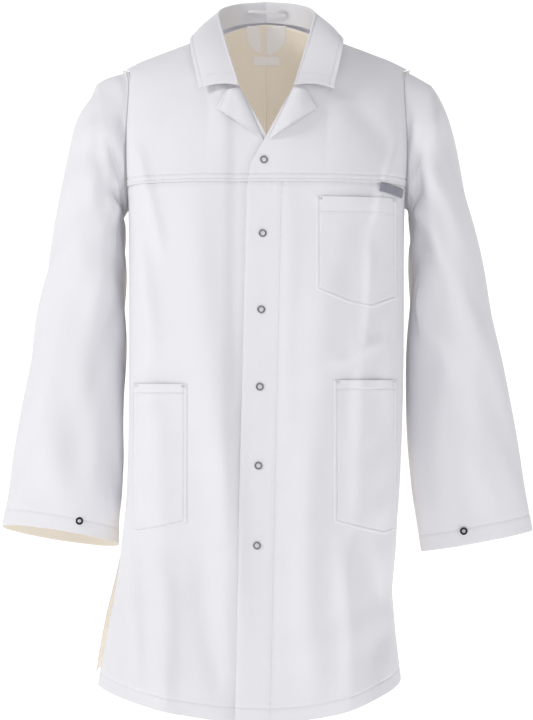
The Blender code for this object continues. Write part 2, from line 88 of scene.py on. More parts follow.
COLLAR = (
    ((0.000, 0.0905, 0.041), (0.000, 0.0920, 0.0716), (0.000, 0.1120, 0.022)),
    ((0.046, 0.0745, 0.033), (0.044, 0.0740, 0.0650), (0.064, 0.0970, 0.016)),
    ((0.078, 0.0240, 0.014), (0.069, 0.0180, 0.0450), (0.102, 0.0200, 0.006)),
    ((0.073, -0.0600, 0.000), (0.0655, -0.0620, 0.0070), (0.109, -0.0760, -0.018)),
    ((0.047, -0.1260, -0.084), (0.0400, -0.1290, -0.0850), (0.0960, -0.1140, -0.0885)),
)
CUFF_TILT = {1: 0.0, -1: 0.012}
UNDERLAP_DROP, UNDERLAP_RAMP = 0.0046, (-0.062, -0.044)
FRONT_NECK_SLOPE = 2.15
VENT_TOP_Z = -0.640
VENT_HALF = 0.040

# ---- the finer make of the cloth ----
CLOTH = 0.0009
STEP = 0.0032
HEM_STITCH = 0.020
YOKE_STITCHES = (0.010, 0.003)
POCKET_STITCH = 0.005
CUFF_STITCH = 0.155
STUD_RADIUS = 0.0056
CUFF_STUD_RADIUS = 0.0057

# ---- camera and stage ----
CAMERA_DISTANCE, CAMERA_Z, VIEW_TALL = 3.0, -0.48, 1.08
FLOOR_Z, WALL_Y, WALL_BEND = -1.16, 5.0, 0.8


# ---------------------------------------------------------------- shape functions
def curve(table, key):
    """Smooth curve through (key, value) rows whose keys rise, read at every key of an array."""
    keys = np.array([row[0] for row in table], float)
    values = np.array([row[1] for row in table], float)
    slopes = np.gradient(values, keys)
    slopes[1:-1] = (values[2:] - values[:-2]) / (keys[2:] - keys[:-2])
    key = np.clip(np.asarray(key, float), keys[0], keys[-1])
    i = np.clip(np.searchsorted(keys, key, side="right") - 1, 0, len(keys) - 2)
    span = keys[i + 1] - keys[i]
    t = (key - keys[i]) / span
    return (values[i] * (2 * t ** 3 - 3 * t ** 2 + 1) + slopes[i] * span * (t ** 3 - 2 * t ** 2 + t)
            + values[i + 1] * (3 * t ** 2 - 2 * t ** 3) + slopes[i + 1] * span * (t ** 3 - t ** 2))


def straight(table, key):
    """Straight lines through (key, value) rows."""
    return np.interp(key, [row[0] for row in table], [row[1] for row in table])


def ease(value, start, end):
    """0 before start, 1 after end, and smooth between."""
    t = np.clip((np.asarray(value, float) - start) / (end - start), 0, 1)
    return t * t * (3 - 2 * t)


def shoulder_z(x):
    """Height of the shoulder line, and of the neck hollow inside it."""
    outside = NECK_POINT_Z - SHOULDER_SLOPE * (np.abs(x) - NECK_HALF)
    inside = NECK_POINT_Z + NECK_RISE * (1 - (x / NECK_HALF) ** 2)
    return np.where(np.abs(x) >= NECK_HALF, outside, inside)


def half_width(x, z):
    """Half width of the body on the side of x at height z."""
    return np.where(np.asarray(x) >= 0, curve(HALF_WIDTH[1], -z), curve(HALF_WIDTH[-1], -z))


def depth(x, z, back=False, lift=0.0):
    """How far the cloth stands from the middle plane at (x, z)."""
    reach = half_width(x, z) + lift
    rounding = BACK_ROUNDING if back else FRONT_ROUNDING
    full = BACK_DEPTH - BACK_FLARE * z if back else FRONT_DEPTH - FRONT_FLARE * z
    drop = np.clip(shoulder_z(x) - z, 0, rounding)
    round_over = np.sqrt(1 - (1 - drop / rounding) ** 2)
    across = np.clip(1 - np.clip(np.abs(x) / reach, 0, 1) ** POWER, 0, 1) ** (1 / POWER)
    return (full * round_over + lift) * across


def side_x(sign, z, back):
    """Outer limit of a body panel: the armhole edge, or the side seam below it."""
    z = np.asarray(z, float)
    reach = half_width(sign + 0 * z, z)
    middle, tall = (ARMHOLE_TOP_Z + UNDERARM_Z) / 2, (ARMHOLE_TOP_Z - UNDERARM_Z) / 2
    ring = ARMHOLE_HALF_DEPTH * np.sqrt(np.clip(1 - ((z - middle) / tall) ** 2, 0, 1))
    low, high = 0.12 + 0 * z, reach.copy()
    for _ in range(30):
        x = (low + high) / 2
        outside = depth(sign * x, z, back) > ring
        low, high = np.where(outside, x, low), np.where(outside, high, x)
    return np.where(z <= UNDERARM_Z, reach, low)


def between(x0, x1, z, u):
    """The x a share u of the way round the section from x0 to x1."""
    def angle(x):
        ratio = np.clip(np.abs(x) / half_width(x, z), 0, 1)
        return np.copysign(np.arcsin(ratio ** (POWER / 2)), x)
    a = angle(x0) + (angle(x1) - angle(x0)) * u
    return np.copysign(half_width(a, z) * np.abs(np.sin(a)) ** (2 / POWER), a)


def hem_z(x, back=False):
    """Height of the hem round the coat."""
    share = np.clip(np.abs(x) / half_width(x, SIDE_HEM_Z + 0 * np.asarray(x)), 0, 1)
    return SIDE_HEM_Z - (BACK_HEM_DROP if back else FRONT_HEM_DROP) * (1 - share ** 2)


# ---------------------------------------------------------------- folds
def waves(x, z, scale, seed):
    """Smooth, uneven waves about scale metres long, from -1 to 1."""
    random = np.random.default_rng(seed)
    total = 0.0
    for _ in range(9):
        turn = random.uniform(0, math.tau)
        size = scale * random.uniform(0.6, 1.7)
        total = total + np.sin(math.tau * (x * math.cos(turn) + z * math.sin(turn)) / size
                               + random.uniform(0, math.tau))
    return total / 5.0


def creases(x, z, lines):
    """Soft ridges: each line is x0, z0, x1, z1, half width, height."""
    total = 0.0 * x
    for x0, z0, x1, z1, wide, high in lines:
        dx, dz = x1 - x0, z1 - z0
        length = math.hypot(dx, dz)
        along = ((x - x0) * dx + (z - z0) * dz) / length ** 2
        off = ((x - x0) * dz - (z - z0) * dx) / length
        bend = 0.25 * wide * np.sin(along * 5 + x0 * 40)
        fade = ease(along, -0.15, 0.25) * (1 - ease(along, 0.7, 1.15))
        total = total + high * np.exp(-((off + bend) / wide) ** 2) * fade
    return total


RIGHT_FOLDS = (
    (-0.070, -0.400, -0.030, -0.940, 0.022, 0.0050), (-0.110, -0.240, -0.062, -0.700, 0.026, 0.0045),
    (-0.150, -0.760, -0.140, -0.985, 0.016, 0.0050), (-0.095, -0.740, -0.060, -0.985, 0.018, -0.0040),
    (-0.195, -0.150, -0.150, -0.330, 0.010, 0.0035), (-0.200, -0.240, -0.165, -0.480, 0.016, 0.0045),
    (-0.100, -0.060, -0.180, -0.210, 0.020, -0.0030), (-0.170, -0.500, -0.150, -0.740, 0.020, 0.0035),
    (-0.215, -0.620, -0.190, -0.960, 0.014, 0.0070), (-0.235, -0.800, -0.240, -0.960, 0.010, -0.0040),
)
LEFT_FOLDS = (
    (0.095, -0.330, 0.050, -0.640, 0.028, 0.0042), (0.060, -0.600, 0.065, -0.985, 0.022, 0.0050),
    (0.115, -0.740, 0.120, -0.975, 0.016, 0.0050), (0.150, -0.760, 0.160, -0.960, 0.014, -0.0045),
    (0.195, -0.150, 0.155, -0.300, 0.010, 0.0035), (0.135, -0.440, 0.128, -0.740, 0.014, 0.0032),
    (0.090, -0.485, 0.165, -0.455, 0.010, 0.0032), (0.150, -0.300, 0.142, -0.500, 0.009, 0.0026),
    (0.195, -0.320, 0.175, -0.560, 0.014, 0.0040), (0.100, -0.060, 0.180, -0.190, 0.020, -0.0030),
    (0.030, -0.240, 0.034, -0.600, 0.012, 0.0016),
)


def front_folds(x, z):
    """How far the front's cloth stands from its plain shape."""
    calm = ease(shoulder_z(x) - z, 0.0, 0.06) * (0.45 + 0.55 * ease(-z, 0.25, 0.8))
    side = creases(x, z, RIGHT_FOLDS) + creases(x, z, LEFT_FOLDS)
    flat = 1 - 0.65 * np.exp(-((x + 0.01) / 0.035) ** 2)
    drape = 0.0024 * waves(x, z * 0.22, 0.075, 4) + 0.0010 * waves(x, z * 0.8, 0.045, 9)
    return 1.5 * flat * (calm * drape + side * ease(shoulder_z(x) - z, 0.01, 0.05))


def back_folds(x, z):
    """How far the back's cloth stands from its plain shape."""
    calm = ease(shoulder_z(x) - z, 0.0, 0.08)
    drape = (0.0015 + 0.0065 * ease(-z, 0.25, 0.95)) * waves(x, z * 0.12, 0.11, 21)
    small = 0.0012 * waves(x, z * 0.6, 0.05, 23)
    return calm * (drape + small) * (0.35 + 0.65 * ease(np.abs(x), 0.0, 0.05))


def groove(off, wide=0.0014, deep=0.0011):
    """The dip that a row of stitching pulls into the cloth, off metres away from it."""
    return -deep * np.exp(-(off / wide) ** 2)


def pucker(along, off, wide=0.010, high=0.0005):
    """The small ripples beside a seam."""
    ripple = high * np.sin(along * math.tau / 0.0115) * np.sin(along * 61 + 1)
    return ripple * np.exp(-(off / wide) ** 2)


# ---------------------------------------------------------------- materials
def node(tree, kind, **inputs):
    """A shader node with some of its sockets set."""
    made = tree.nodes.new(kind)
    for name, value in inputs.items():
        made.inputs[name.replace("_", " ")].default_value = value
    return made


def cloth_material(name, colour, shade, weave=2300.0, strength=0.12, sheen=0.15, rough=0.85):
    """Twill: fine diagonal ribs, soft patches of tone and a little sheen."""
    made = bpy.data.materials.new(name)
    made.use_nodes = True
    tree = made.node_tree
    shader = tree.nodes["Principled BSDF"]
    shader.inputs["Roughness"].default_value = rough
    shader.inputs["Sheen Weight"].default_value = sheen
    shader.inputs["Sheen Roughness"].default_value = 0.4
    shader.inputs["Specular IOR Level"].default_value = 0.25
    where = node(tree, "ShaderNodeTexCoord")
    turned = node(tree, "ShaderNodeMapping", Rotation=(0.0, math.radians(32), 0.0))
    tree.links.new(where.outputs["Object"], turned.inputs["Vector"])
    ribs = node(tree, "ShaderNodeTexWave", Scale=weave / 7.0, Distortion=1.2, Detail=2.0,
                Detail_Scale=3.0)
    ribs.wave_type = "BANDS"
    ribs.bands_direction = "X"
    tree.links.new(turned.outputs["Vector"], ribs.inputs["Vector"])
    yarn = node(tree, "ShaderNodeTexNoise", Scale=weave / 2.4, Detail=3.0, Roughness=0.7)
    tree.links.new(where.outputs["Object"], yarn.inputs["Vector"])
    height = node(tree, "ShaderNodeMath")
    height.operation = "ADD"
    tree.links.new(ribs.outputs["Fac"], height.inputs[0])
    tree.links.new(yarn.outputs["Fac"], height.inputs[1])
    slub = node(tree, "ShaderNodeTexNoise", Scale=55.0, Detail=6.0, Roughness=0.65)
    tree.links.new(where.outputs["Object"], slub.inputs["Vector"])
    total = node(tree, "ShaderNodeMath")
    total.operation = "MULTIPLY_ADD"
    total.inputs[1].default_value = 1.5
    tree.links.new(slub.outputs["Fac"], total.inputs[0])
    tree.links.new(height.outputs["Value"], total.inputs[2])
    bump = node(tree, "ShaderNodeBump", Strength=strength, Distance=0.0005)
    tree.links.new(total.outputs["Value"], bump.inputs["Height"])
    tree.links.new(bump.outputs["Normal"], shader.inputs["Normal"])
    patch = node(tree, "ShaderNodeTexNoise", Scale=6.0, Detail=5.0, Roughness=0.6)
    tree.links.new(where.outputs["Object"], patch.inputs["Vector"])
    tone = node(tree, "ShaderNodeMix")
    tone.data_type = "RGBA"
    tone.inputs["A"].default_value = (*colour, 1.0)
    tone.inputs["B"].default_value = (*shade, 1.0)
    tree.links.new(patch.outputs["Fac"], tone.inputs["Factor"])
    fine = node(tree, "ShaderNodeMix")
    fine.data_type = "RGBA"
    fine.blend_type = "MULTIPLY"
    fine.inputs["Factor"].default_value = 0.10
    tree.links.new(tone.outputs["Result"], fine.inputs["A"])
    tree.links.new(ribs.outputs["Color"], fine.inputs["B"])
    tree.links.new(fine.outputs["Result"], shader.inputs["Base Color"])
    return made


def painted_glow_through(made, strength, colour):
    """Painted light: the cloth is made to glow, standing in for the light that comes through it when seen from
    inside.
    """
    shader = made.node_tree.nodes["Principled BSDF"]
    shader.inputs["Emission Color"].default_value = (*colour, 1.0)
    shader.inputs["Emission Strength"].default_value = strength


def metal_material(name, colour, rough):
    """Plated metal with fine brushed scratches and small differences of gloss."""
    made = bpy.data.materials.new(name)
    made.use_nodes = True
    tree = made.node_tree
    shader = tree.nodes["Principled BSDF"]
    shader.inputs["Metallic"].default_value = 1.0
    where = node(tree, "ShaderNodeTexCoord")
    grain = node(tree, "ShaderNodeTexNoise", Scale=900.0, Detail=4.0, Roughness=0.7)
    tree.links.new(where.outputs["Object"], grain.inputs["Vector"])
    gloss = node(tree, "ShaderNodeMapRange", To_Min=rough * 0.7, To_Max=rough * 1.4)
    tree.links.new(grain.outputs["Fac"], gloss.inputs["Value"])
    tree.links.new(gloss.outputs["Result"], shader.inputs["Roughness"])
    tone = node(tree, "ShaderNodeMix")
    tone.data_type = "RGBA"
    tone.inputs["A"].default_value = (*[c * 0.85 for c in colour], 1.0)
    tone.inputs["B"].default_value = (*colour, 1.0)
    tree.links.new(grain.outputs["Fac"], tone.inputs["Factor"])
    tree.links.new(tone.outputs["Result"], shader.inputs["Base Color"])
    bump = node(tree, "ShaderNodeBump", Strength=0.05, Distance=0.0002)
    tree.links.new(grain.outputs["Fac"], bump.inputs["Height"])
    tree.links.new(bump.outputs["Normal"], shader.inputs["Normal"])
    return made


WHITE = cloth_material("coat_white", (0.87, 0.865, 0.895), (0.84, 0.835, 0.87))
# Painted shade: the coat's inner faces are tinted cream to stand in for the warm shade inside the white coat,
# and the next line adds a faint painted glow.
PAINTED_SHADE_CREAM = cloth_material("coat_inside_painted_shade", (0.88, 0.83, 0.74), (0.85, 0.79, 0.69), strength=0.10)
painted_glow_through(PAINTED_SHADE_CREAM, 0.10, (1.0, 0.93, 0.87))
THREAD = cloth_material("thread_white", (0.78, 0.775, 0.81), (0.66, 0.655, 0.71), weave=9000.0)
TAPE = cloth_material("tape_white", (0.83, 0.82, 0.83), (0.78, 0.77, 0.79), weave=4200.0, sheen=0.3)
# Painted light: the label tape is given a faint glow.
painted_glow_through(TAPE, 0.14, (0.95, 0.95, 1.0))
GREY = cloth_material("label_grey", (0.33, 0.33, 0.38), (0.26, 0.26, 0.31), weave=4200.0, sheen=0.3)
STEEL = metal_material("stud_nickel", (0.24, 0.24, 0.26), 0.32)
DARK = metal_material("stud_dark", (0.035, 0.035, 0.04), 0.38)


# ---------------------------------------------------------------- mesh helpers
def make(name, points, faces, materials):
    """A mesh object from points and faces."""
    mesh = bpy.data.meshes.new(name)
    mesh.from_pydata(np.asarray(points).tolist(), [], faces)
    for item in materials:
        mesh.materials.append(item)
    mesh.update()
    mesh.shade_smooth()
    made = bpy.data.objects.new(name, mesh)
    bpy.context.scene.collection.objects.link(made)
    return made


def grid_faces(rows, columns, ring=False, flip=False):
    """Quads over a grid of points, joined round if ring."""
    faces = []
    last = columns if ring else columns - 1
    for j in range(rows - 1):
        for i in range(last):
            a, b = j * columns + i, j * columns + (i + 1) % columns
            face = (a, a + columns, b + columns, b)
            faces.append(face[::-1] if flip else face)
    return faces


def sheet(name, points, ring=False, flip=False, thick=CLOTH, inside=PAINTED_SHADE_CREAM, outside=WHITE, grow=-1.0):
    """Cloth over a (rows, columns, 3) grid of points, with its inner face in another material, by default the
    cream of painted shade.
    """
    rows, columns, _ = points.shape
    made = make(name, points.reshape(-1, 3), grid_faces(rows, columns, ring, flip), (outside, inside))
    shell = made.modifiers.new("Cloth", "SOLIDIFY")
    shell.thickness = thick
    shell.offset = grow
    shell.material_offset = 1
    shell.use_quality_normals = True
    return made


def steps(start, end, size=STEP, marks=()):
    """Even steps from start to end, closer together beside each mark."""
    count = max(int(abs(end - start) / size), 2)
    values = list(np.linspace(start, end, count + 1))
    low, high = min(start, end), max(start, end)
    for mark in marks:
        for off in (-0.0030, -0.0016, -0.0007, 0.0, 0.0007, 0.0016, 0.0030):
            if low < mark + off < high:
                values.append(mark + off)
    values = sorted(set(np.round(values, 6)), reverse=end < start)
    return np.array(values)


STITCH_LENGTH, STITCH_PITCH, STITCH_WIDE, STITCH_HIGH = 0.0026, 0.0034, 0.00048, 0.00026


def stitches(name, paths):
    """Rows of thread: each path is (points, outward directions) along the cloth."""
    verts, faces = [], []
    for points, outs in paths:
        points, outs = np.asarray(points, float), np.asarray(outs, float)
        span = np.linalg.norm(np.diff(points, axis=0), axis=1)
        run = np.concatenate([[0], np.cumsum(span)])
        for start in np.arange(0.001, run[-1] - STITCH_LENGTH, STITCH_PITCH):
            ends = [np.array([np.interp(s, run, points[:, k]) for k in range(3)])
                    for s in (start, start + STITCH_LENGTH)]
            out = np.array([np.interp(start, run, outs[:, k]) for k in range(3)])
            out /= np.linalg.norm(out)
            along = (ends[1] - ends[0]) / max(np.linalg.norm(ends[1] - ends[0]), 1e-9)
            side = np.cross(out, along) * STITCH_WIDE / 2
            base = len(verts)
            for share, swell, rise in ((0.0, 0.5, -0.6), (0.25, 1.0, 0.7), (0.75, 1.0, 0.7),
                                       (1.0, 0.5, -0.6)):
                at = ends[0] + (ends[1] - ends[0]) * share
                top = at + out * STITCH_HIGH * rise
                verts += [top + side * swell, top + out * STITCH_HIGH * swell * 0.6,
                          top - side * swell, top - out * STITCH_HIGH * swell * 0.6]
            for ring in range(3):
                for k in range(4):
                    a, b = base + ring * 4 + k, base + ring * 4 + (k + 1) % 4
                    faces.append((a, b, b + 4, a + 4))
            faces.append((base + 3, base + 2, base + 1, base))
            faces.append((base + 12, base + 13, base + 14, base + 15))
    return make(name, verts, faces, (THREAD,))


def bend_front(piece):
    """Bakes the piece's transform into its mesh; the piece is not bent."""
    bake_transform(piece)


def bend_sleeve(piece):
    """Bakes the piece's transform into its mesh; the piece is not turned."""
    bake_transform(piece)


# ---------------------------------------------------------------- body panels
def right_drop(x):
    """The right front drops behind the left one where they overlap."""
    return -UNDERLAP_DROP * ease(x, *UNDERLAP_RAMP)


def near_side(x, z, back):
    """0 at the armhole and side seams, which hold the cloth, and 1 well away from them."""
    sign = np.where(np.asarray(x) >= 0, 1, -1)
    held = np.clip(z, UNDERARM_Z + 0.0005, ARMHOLE_TOP_Z) + 0.0 * np.asarray(x)
    reach = np.where(sign > 0, side_x(1, held, back), side_x(-1, held, back))
    return ease(reach - np.abs(x), 0.0, 0.035)


def front_level(sign, x, z):
    """Folds and stitch grooves of one front, as a distance from its plain shape."""
    level = front_folds(x, z) * near_side(x, z, False)
    if sign < 0:
        return level + right_drop(x)
    edge = straight(LEFT_EDGE, -z)
    stitch = x - (edge + PLACKET)
    below = ease(-z, 0.200, 0.215)
    level = level + below * (groove(stitch, 0.0014, 0.0008) + pucker(z, stitch))
    return level + below * groove(x - edge - 0.0012, 0.0020, 0.0005)


def front_point(sign, x, z, extra=0.0):
    """Points on one front's outer face."""
    lift = front_level(sign, x, z) + extra
    y = -np.maximum(depth(x, z, False, lift), 0.0002)
    return np.stack([x, y, z + 0 * x], axis=-1)


def shares(length, size=STEP, marks=()):
    """Even shares of a length from 0 to 1, closer together near marks given in metres."""
    return steps(0.0, length, size, [m if m >= 0 else length + m for m in marks]) / length


def neck_edge_z(x, back):
    """Top edge of a body panel: the neckline, then the shoulder seam."""
    if back:
        neck = NECK_POINT_Z + (BACK_NECK_Z - NECK_POINT_Z) * (1 - (x / NECK_HALF) ** 2)
    else:
        neck = NECK_POINT_Z - FRONT_NECK_SLOPE * (NECK_HALF - np.abs(x))
    return np.where(np.abs(x) >= NECK_HALF, shoulder_z(x) - shoulder_tuck(x), neck)


def shoulder_tuck(x):
    """The shoulder line's last stretch dips to meet the sleeve head."""
    return 0.0050 * ease(np.abs(x), 0.165, 0.214)


def tip_in(z):
    """The body's last corner at the top of the armhole stays under the sleeve head."""
    return 0.0050 * ease(z, -0.075, -0.050)


def side_gap(sign, z):
    """How far the front's side edge stands back from the back's, low down at the sides."""
    return (0.012 if sign < 0 else 0.002) * ease(-z, 0.70, 0.88)


def front_grid(sign, top_of, bottom_of, rows):
    """x and z over one front, from its front edge out to the armhole or the side seam."""
    edge = LEFT_EDGE if sign > 0 else RIGHT_EDGE
    placket = shares(PLACKET, STEP, (0.0012,))
    rest = np.linspace(0.0, 1.0, 66)[1:] ** 1.15
    inner = np.concatenate([placket, np.ones(len(rest))])
    outer = np.concatenate([np.zeros(len(placket)), rest])
    v = rows[:, None]
    z = -0.4 + 0 * (v + inner)
    for _ in range(6):
        x0 = straight(edge, -z)
        x1 = x0 + sign * PLACKET
        held = np.minimum(z, ARMHOLE_TOP_Z)
        reach = sign * (side_x(sign, held, False) - side_gap(sign, z) - tip_in(z))
        x1 = np.where(np.abs(x1) < np.abs(reach) - 0.004, x1, reach - sign * 0.004)
        across = between(x1, reach, z, outer)
        x = np.where(outer > 0, across, x0 + (x1 - x0) * inner)
        z = top_of(x) + (bottom_of(x) - top_of(x)) * v
    return x, z


def build_front(sign):
    """One front: its yoke, its panel and the facing behind its edge."""
    side = "left" if sign > 0 else "right"
    table = LEFT_EDGE if sign > 0 else RIGHT_EDGE

    def yoke_top(x):
        collar_line = neck_edge_z(x, False)
        xs = np.array([row[1] for row in table[:4]])
        zs = np.array([-row[0] for row in table[:4]])
        order = np.argsort(xs)
        on_edge = np.interp(x, xs[order], zs[order])
        return np.where(np.abs(x) < FOLD_X, np.maximum(on_edge, -0.2), collar_line)

    x, z = front_grid(sign, yoke_top, lambda x: YOKE_Z - 0.0010 + 0 * x,
                      shares(0.23, 0.0034, (-0.0015, -0.0035, -0.0110)) ** 1.25)
    seam = z - YOKE_Z
    upper, lower = YOKE_STITCHES
    level = (groove(seam - upper) + groove(seam - lower, 0.0011, 0.0006) + pucker(x, seam, 0.012)
             + 0.0008 * ease(-z, 0.190, 0.222))
    yoke = sheet(f"{side}_yoke_cloth", front_point(sign, x, z, level), flip=sign < 0)
    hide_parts(f"{side}_shoulder_yoke", f"{side}_yoke_front")
    bend_front(yoke)

    x, z = front_grid(sign, lambda x: YOKE_Z + 0.0012 + 0 * x, hem_z,
                      shares(0.76, 0.0040, (0.0035, -HEM_STITCH, -0.0015)))
    up = z - hem_z(x)
    hem = up - HEM_STITCH
    level = (groove(hem, 0.0014, 0.0008) + pucker(x, hem) - 0.0004 * ease(up, 0.022, 0.018)
             + pucker(x, z - YOKE_Z, 0.012) - 0.0011 * ease(-z, 0.232, 0.224))
    panel = sheet(f"{side}_panel_cloth", front_point(sign, x, z, level), flip=sign < 0)
    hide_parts(f"{side}_side_front", f"{side}_front_panel")
    bend_front(panel)

    inward = shares(PLACKET, 0.004)
    z = np.linspace(-0.185, -0.988, 200)[:, None] + 0 * inward
    x = straight(table, -z) + sign * inward * (PLACKET - 0.002) + sign * 0.001
    grid = front_point(sign, x, z, -0.0016)
    facing = sheet(f"{side}_facing_cloth", grid, flip=sign < 0, thick=0.0006)
    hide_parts(f"{side}_facing")
    bend_front(facing)


# ---------------------------------------------------------------- back
def build_back():
    """Two back panels, joined down the centre to the vent, and the vent's underlap."""
    for sign, side in ((1, "left"), (-1, "right")):
        rest = np.linspace(0.0, 1.0, 74) ** 1.5
        rest = np.unique(np.concatenate([rest, [0.00005, 0.0004, 0.0012]]))
        if sign > 0:
            rest = rest[::-1]
        v = (shares(1.03, 0.0042, (-HEM_STITCH, -0.0015)))[:, None]
        x = sign * 0.1 + 0 * (v + rest)
        z = -0.4 + 0 * x
        for _ in range(6):
            z_top = neck_edge_z(x, True)
            z = z_top + (hem_z(x, True) - z_top) * v
            reach = sign * (side_x(sign, np.minimum(z, ARMHOLE_TOP_Z), True) - tip_in(z))
            x = between((-0.004 if sign > 0 else -0.0002) + 0 * z, reach, z, rest)
        up = z - hem_z(x, True)
        open_vent = ease(-z, -VENT_TOP_Z, 0.700)
        level = back_folds(x, z) * near_side(x, z, True)
        hem = up - HEM_STITCH
        level = level + groove(hem, 0.0014, 0.0008) + pucker(x, hem)
        level = level + (1 - open_vent) * (groove(x, 0.0016, 0.0010) + groove(np.abs(x) - 0.006))
        level = level - (0.0015 * np.exp(-(x / 0.012) ** 2) if sign < 0 else 0.0)
        level = level + open_vent * np.exp(-(x / 0.05) ** 2) * (0.003 if sign > 0 else -0.001)
        y = np.maximum(depth(x, z, True, level), 0.0002)
        piece = sheet(f"{side}_back_cloth", np.stack([x, y, z], axis=-1), flip=False)
        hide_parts(f"{side}_back")
        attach(piece, "root")
    across = shares(0.08, 0.004)
    z = np.linspace(-0.635, -0.978, 90)[:, None] + 0 * across
    x = VENT_HALF - 2 * VENT_HALF * across + 0 * z
    y = depth(x, z, True, back_folds(x, z) - 0.0030)
    piece = sheet("vent_underlap_cloth", np.stack([x, y, z], axis=-1), thick=0.0006)
    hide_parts("back_vent_underlap")
    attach(piece, "root")


# ---------------------------------------------------------------- sleeves
def sleeve_grid(sign, rings, angles):
    """Points on a sleeve; rings counts along it, angle 0 is outside and 90 degrees in front."""
    table = SLEEVE_RINGS[sign]
    columns = [curve([(i, ring[k]) for i, ring in enumerate(table)], rings)[:, None] for k in range(5)]
    outer_x, outer_z, inner_x, inner_z, half = columns
    c, s = np.cos(angles)[None, :], np.sin(angles)[None, :]
    x = (outer_x + inner_x) / 2 + (outer_x - inner_x) / 2 * c
    z = (outer_z + inner_z) / 2 + (outer_z - inner_z) / 2 * c
    y = -half * s
    z = z + CUFF_TILT[sign] * s * (np.clip(rings, 0, None)[:, None] / (len(table) - 1)) ** 6
    held = np.clip(z, UNDERARM_Z + 0.0005, ARMHOLE_TOP_Z - 0.0005)
    seam_x = np.where(y > 0, side_x(sign, held, True), side_x(sign, held, False))
    share = np.clip(rings, 0, 1)[:, None]
    x = np.where(share < 1, np.maximum(x, seam_x) * share + seam_x * (1 - share), x)
    tucked = 1 - ease(rings, 0.0, 0.02)[:, None]
    x = x + 0.0006 - 0.0045 * tucked
    return np.stack([sign * x, y * (1 - 0.02 * tucked), z], axis=-1)


SLEEVE_FOLDS = {
    1: ((0.35, 95, 1.9, 55, 0.22, 0.0060), (0.9, 120, 2.4, 80, 0.20, 0.0050),
        (1.6, 140, 3.1, 100, 0.20, 0.0060), (2.4, 150, 3.9, 95, 0.22, -0.0040),
        (3.3, 150, 4.3, 100, 0.18, 0.0050), (3.9, 60, 5.6, 85, 0.30, 0.0045),
        (1.0, 250, 2.6, 285, 0.26, 0.0050), (2.6, 230, 4.2, 275, 0.26, 0.0060),
        (4.2, 110, 5.9, 125, 0.25, 0.0035)),
    -1: ((0.35, 95, 1.9, 55, 0.22, 0.0060), (0.8, 125, 2.3, 85, 0.20, 0.0050),
         (1.5, 145, 3.0, 105, 0.20, 0.0055), (2.6, 150, 4.1, 90, 0.24, 0.0045),
         (3.5, 155, 4.6, 110, 0.18, -0.0040), (4.0, 60, 5.7, 80, 0.30, 0.0045),
         (1.0, 250, 2.6, 285, 0.26, 0.0050), (2.6, 230, 4.2, 275, 0.26, 0.0060),
         (4.4, 115, 5.9, 125, 0.25, 0.0030)),
}


def build_sleeve(sign):
    """A whole sleeve tube with its folds, cuff hem and stitching."""
    side = "left" if sign > 0 else "right"
    last = len(SLEEVE_RINGS[sign]) - 1
    angles = np.linspace(0, math.tau, 121)[:-1]
    rings = np.concatenate([np.linspace(0, last - 0.35, 150)[:-1], np.linspace(last - 0.35, last, 24)])
    rings = np.unique(np.concatenate([rings, [0.004, 0.010, 0.016, 0.022, 0.03, 0.05, 0.08]]))
    points = sleeve_grid(sign, rings, angles)
    along = np.gradient(points, axis=0)
    around = np.roll(points, -1, axis=1) - np.roll(points, 1, axis=1)
    out = np.cross(around, along) * sign
    out /= np.linalg.norm(out, axis=-1, keepdims=True)
    ring, angle = np.meshgrid(rings, np.degrees(angles), indexing="ij")
    folds = creases(ring, angle / 60.0, [(r0, a0 / 60.0, r1, a1 / 60.0, wide, high)
                                         for r0, a0, r1, a1, wide, high in SLEEVE_FOLDS[sign]])
    turned = np.radians(angle)
    soft = 0.0022 * waves(np.cos(turned) * 0.09, np.sin(turned) * 0.09 + ring * 0.11, 0.10, 31 + sign)
    calm = ease(ring, 0.0, 0.5)
    cuff = last - ring
    hem = groove((cuff - CUFF_STITCH) * 0.15, 0.0016, 0.0008) + 0.0003 * ease(cuff, 0.17, 0.15)
    seam = groove(ring * 0.06, 0.0030, 0.0007)
    level = 1.4 * calm * (folds + soft) * (0.35 + 0.65 * ease(cuff, 0.0, 0.6)) + hem + seam
    level = np.minimum(level, np.where(np.cos(turned) < -0.75, 0.0012, 0.02))
    piece = sheet(f"{side}_sleeve_cloth", points + out * level[..., None], ring=True, flip=sign > 0)
    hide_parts(f"{side}_sleeve_front", f"{side}_sleeve_back")
    bend_sleeve(piece)
    row = stitch_rows_on_sleeve(points + out * level[..., None], out, rings, last, sign, side)
    bend_sleeve(row)


def stitch_rows_on_sleeve(points, out, rings, last, sign, side):
    """Thread round the cuff hem, and beside the armhole seam."""
    paths = []
    for ring in (last - CUFF_STITCH, 0.06):
        j = int(np.argmin(np.abs(rings - ring)))
        line = np.concatenate([points[j], points[j][:1]])
        away = np.concatenate([out[j], out[j][:1]])
        paths.append((line + away * 0.0001, away))
    piece = stitches(f"{side}_sleeve_stitching", paths)
    return piece


# ---------------------------------------------------------------- collar
def collar_line(t, line):
    """Points on one of the collar's three long lines, t from -1 to 1."""
    stops = np.linspace(0, 1, len(COLLAR))
    xyz = [curve(list(zip(stops, [stop[line][k] for stop in COLLAR])), np.abs(t)) for k in range(3)]
    xyz[0] = xyz[0] * np.sign(t)
    return np.stack(xyz, axis=-1)


